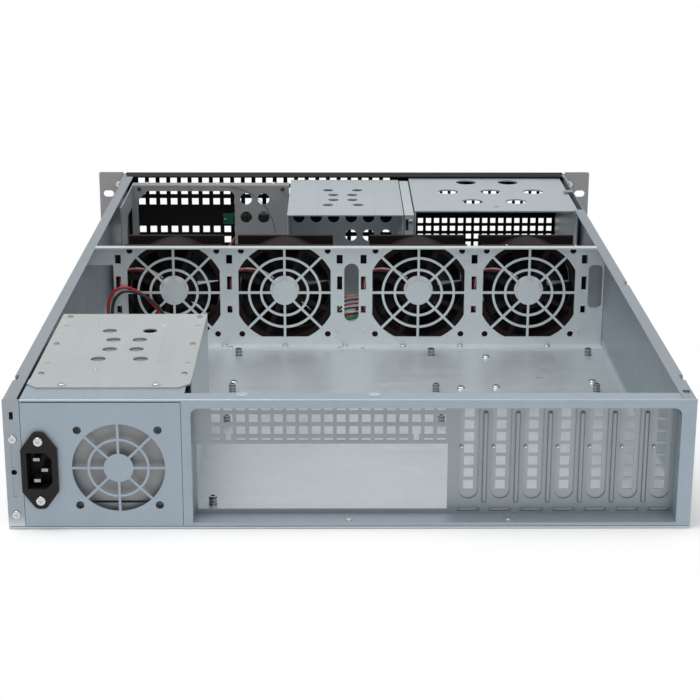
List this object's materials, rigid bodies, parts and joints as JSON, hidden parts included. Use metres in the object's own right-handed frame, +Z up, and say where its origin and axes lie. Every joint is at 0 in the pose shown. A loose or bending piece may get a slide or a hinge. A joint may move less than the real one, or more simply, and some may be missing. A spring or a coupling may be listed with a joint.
{
  "type": "empty rackmount server case",
  "caption": "Open rackmount server case without its lid: steel tray with card slot covers, power supply bay, fan wall with fans, drive cages, vented front panel, rack ears and handles.",
  "frame": {"origin": "on the underside, in the middle of the case's length and width", "axes": "+X to the right as seen from behind the case, +Y towards the front panel and handles, +Z up"},
  "size_m": [0.4826, 0.7226, 0.0874],
  "materials": {
    "galvanised_steel": "satin",
    "panel_black": "semi-gloss",
    "ear_grey": "satin",
    "handle_finish": "satin",
    "screw_steel": "bright",
    "inlet_black": "matte",
    "pin_metal": "bright",
    "fan_frame_black": "satin",
    "fan_rotor_black": "satin",
    "board_green": "satin",
    "switch_black": "matte",
    "button_black": "satin",
    "light_red": "clear",
    "light_green": "clear",
    "socket_metal": "bright",
    "plug_white": "satin",
    "wire_red": "satin",
    "wire_black": "satin",
    "wire_mixed": "satin"
  },
  "bodies": {
    "case": {"chassis_tray": "galvanised_steel", "rear_frame": "galvanised_steel", "io_slot_panel": "galvanised_steel", "psu_rear_plate": "galvanised_steel", "psu_box": "galvanised_steel", "psu_cover": "galvanised_steel", "fan_wall": "galvanised_steel", "front_bulkhead": "galvanised_steel", "drive_cage": "galvanised_steel", "drive_cage_cover": "galvanised_steel", "cage_divider": "galvanised_steel", "bay_cage": "galvanised_steel", "slot_cover_1": "galvanised_steel", "slot_cover_2": "galvanised_steel", "slot_cover_3": "galvanised_steel", "slot_cover_4": "galvanised_steel", "slot_cover_5": "galvanised_steel", "slot_cover_6": "galvanised_steel", "slot_cover_7": "galvanised_steel", "front_panel": "panel_black", "ear_left": "ear_grey", "ear_right": "ear_grey", "handle_left": "handle_finish", "handle_right": "handle_finish", "handle_screws": "screw_steel", "inlet_screws": "screw_steel", "board_posts": "screw_steel", "standoffs": "screw_steel", "inlet_housing": "inlet_black", "inlet_pins": "pin_metal", "fan_frame_1": "fan_frame_black", "fan_frame_2": "fan_frame_black", "fan_frame_3": "fan_frame_black", "fan_frame_4": "fan_frame_black", "front_board": "board_green", "power_switch": "switch_black", "reset_switch": "switch_black", "drive_light": "light_red", "power_light": "light_green", "usb_socket": "socket_metal", "power_plug": "plug_white", "leads_plug": "plug_white", "fan_plug_1": "plug_white", "fan_plug_2": "plug_white", "fan_plug_3": "plug_white", "fan_plug_4": "plug_white", "power_lead_red": "wire_red", "power_lead_black": "wire_black", "fan_lead_1": "wire_black", "fan_lead_2": "wire_black", "fan_lead_3": "wire_black", "fan_lead_4": "wire_black", "front_leads": "wire_mixed"},
    "rotor_1": {"fan_rotor_1": "fan_rotor_black"},
    "rotor_2": {"fan_rotor_2": "fan_rotor_black"},
    "rotor_3": {"fan_rotor_3": "fan_rotor_black"},
    "rotor_4": {"fan_rotor_4": "fan_rotor_black"},
    "power_button": {"power_button": "button_black"},
    "reset_button": {"reset_button": "button_black"}
  },
  "joints": [
    {"name": "fan_spin_1", "type": "hinge", "parent": "case", "child": "rotor_1", "pos_m": [-0.1428, 0.04325, 0.0474], "axis": [0, 1, 0], "continuous": true},
    {"name": "fan_spin_2", "type": "hinge", "parent": "case", "child": "rotor_2", "pos_m": [-0.0511, 0.04325, 0.0474], "axis": [0, 1, 0], "continuous": true},
    {"name": "fan_spin_3", "type": "hinge", "parent": "case", "child": "rotor_3", "pos_m": [0.0598, 0.04325, 0.0474], "axis": [0, 1, 0], "continuous": true},
    {"name": "fan_spin_4", "type": "hinge", "parent": "case", "child": "rotor_4", "pos_m": [0.1515, 0.04325, 0.0474], "axis": [0, 1, 0], "continuous": true},
    {"name": "power_press", "type": "slide", "parent": "case", "child": "power_button", "axis": [0, -1, 0], "range_m": [0, 0.001], "stiffness_N_per_m": 300},
    {"name": "reset_press", "type": "slide", "parent": "case", "child": "reset_button", "axis": [0, -1, 0], "range_m": [0, 0.001], "stiffness_N_per_m": 300}
  ]
}
